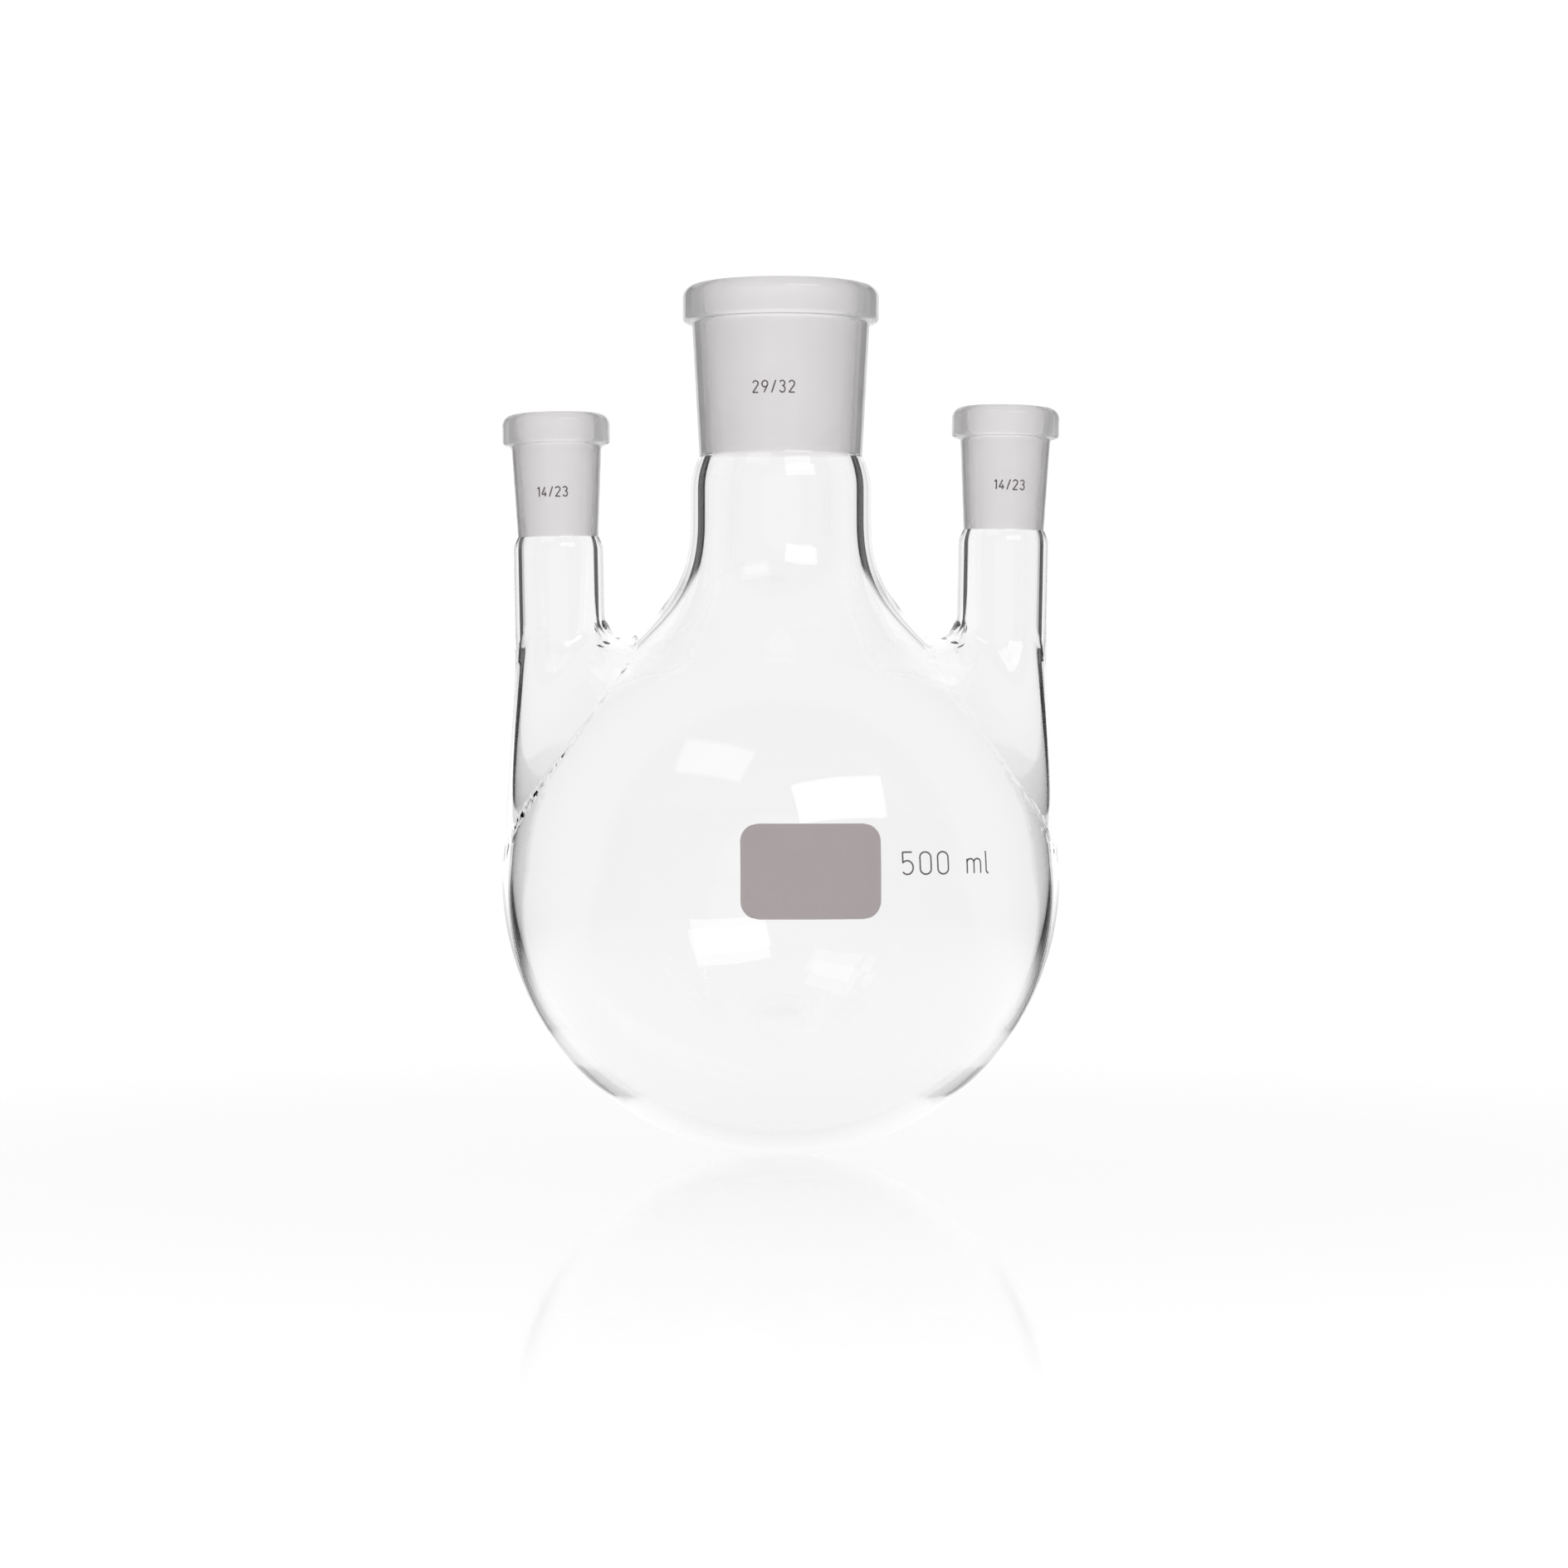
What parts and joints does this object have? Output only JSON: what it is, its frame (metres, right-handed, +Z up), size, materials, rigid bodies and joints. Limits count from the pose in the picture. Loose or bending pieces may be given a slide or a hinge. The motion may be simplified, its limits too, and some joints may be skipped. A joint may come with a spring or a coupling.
{
  "type": "three neck flask",
  "caption": "Round-bottom reaction flask of blown borosilicate glass with an upright centre neck and two parallel side necks, each ending in a ground taper socket.",
  "frame": {"origin": "lowest point of the round bulb, on the axis of the centre neck", "axes": "+Z up the centre neck, +X from the middle towards the right side neck, -Y towards the writing field"},
  "size_m": [0.1052, 0.1051, 0.164],
  "materials": {
    "glass": "clear fire-polished borosilicate glass, frosted where the socket bores are ground",
    "enamel": "fired-on grey-brown enamel of the writing field and the numerals, semi-matt"
  },
  "bodies": {
    "root": {"flask": "glass"}
  },
  "joints": []
}
